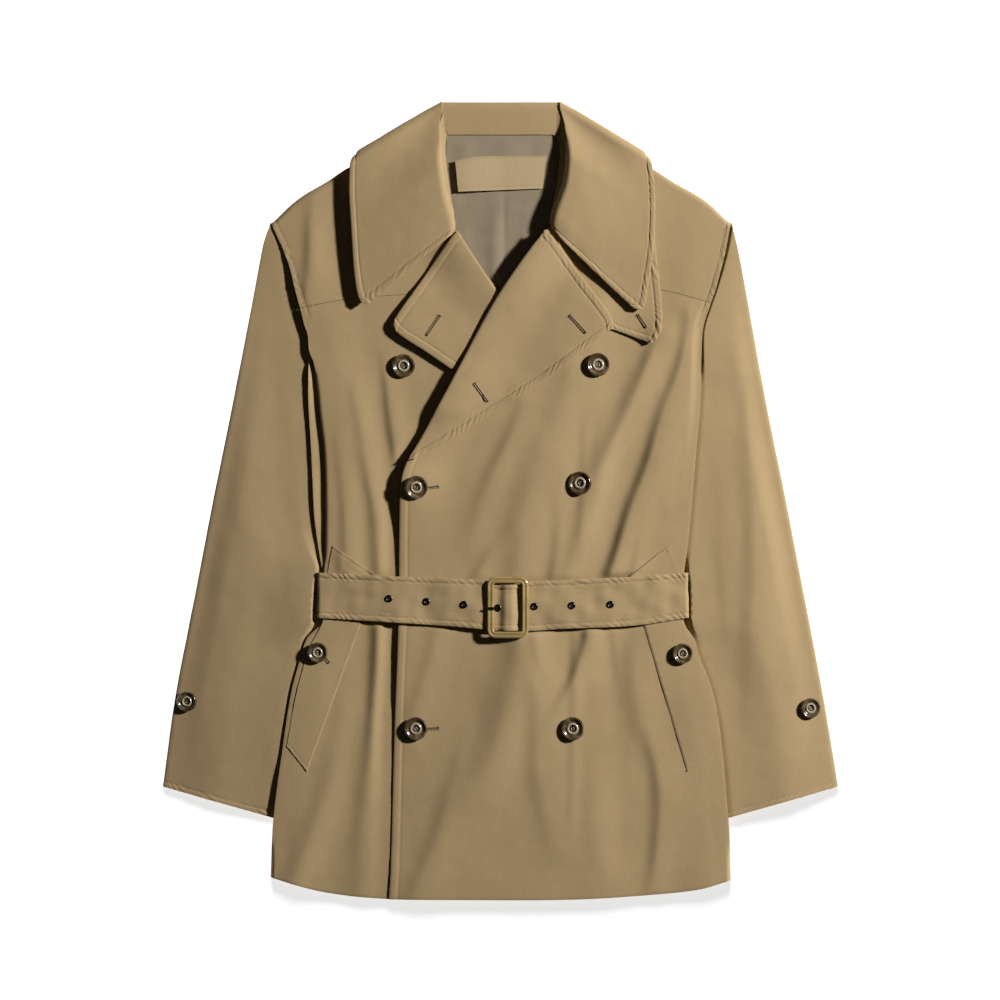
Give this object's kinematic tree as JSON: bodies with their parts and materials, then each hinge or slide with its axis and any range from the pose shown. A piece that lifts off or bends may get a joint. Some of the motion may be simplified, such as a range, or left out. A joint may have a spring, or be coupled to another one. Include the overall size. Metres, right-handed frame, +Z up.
{
  "type": "trench coat",
  "caption": "Short double-breasted trench coat laid flat, with wide lapels, a storm flap, slanted welt pockets and a buckled belt.",
  "frame": {"origin": "centre of the coat's bounding box in plan, on the surface that it lies on", "axes": "+Z up from the surface, +Y from the hem to the collar, +X towards the wearer's left sleeve"},
  "size_m": [0.7012, 0.8316, 0.0228],
  "materials": {
    "cloth": "khaki cotton gabardine, matte",
    "lining": "smooth grey-brown lining",
    "buckle": "olive-tan resin, glossy",
    "metal": "dark oxidised metal",
    "horn": "dark brown horn look, glossy"
  },
  "bodies": {
    "root": {"back": "cloth", "neck_tab": "cloth", "front_right": "cloth", "front_left": "cloth", "yoke_right": "cloth", "yoke_left": "cloth", "lapel_left": "cloth", "lapel_right": "cloth", "storm_flap": "cloth", "collar_stand": "cloth", "collar_leaf_right": "cloth", "collar_leaf_left": "cloth", "collar_back": "cloth", "collar_fold": "cloth", "sleeve_top_right": "cloth", "sleeve_under_right": "cloth", "sleeve_top_left": "cloth", "sleeve_under_left": "cloth", "pocket_welt_right": "cloth", "pocket_welt_left": "cloth", "belt_front": "cloth", "belt_back": "cloth", "back_lining": "lining", "buckle_frame": "buckle", "buckle_prong": "metal", "eyelet_1": "metal", "eyelet_2": "metal", "eyelet_3": "metal", "eyelet_4": "metal", "eyelet_5": "metal", "eyelet_6": "metal", "eyelet_7": "metal", "button_upper_right": "horn", "button_upper_left": "horn", "button_middle_right": "horn", "button_middle_left": "horn", "button_lower_right": "horn", "button_lower_left": "horn", "button_pocket_right": "horn", "button_pocket_left": "horn", "button_cuff_right": "horn", "button_cuff_left": "horn"}
  },
  "joints": []
}
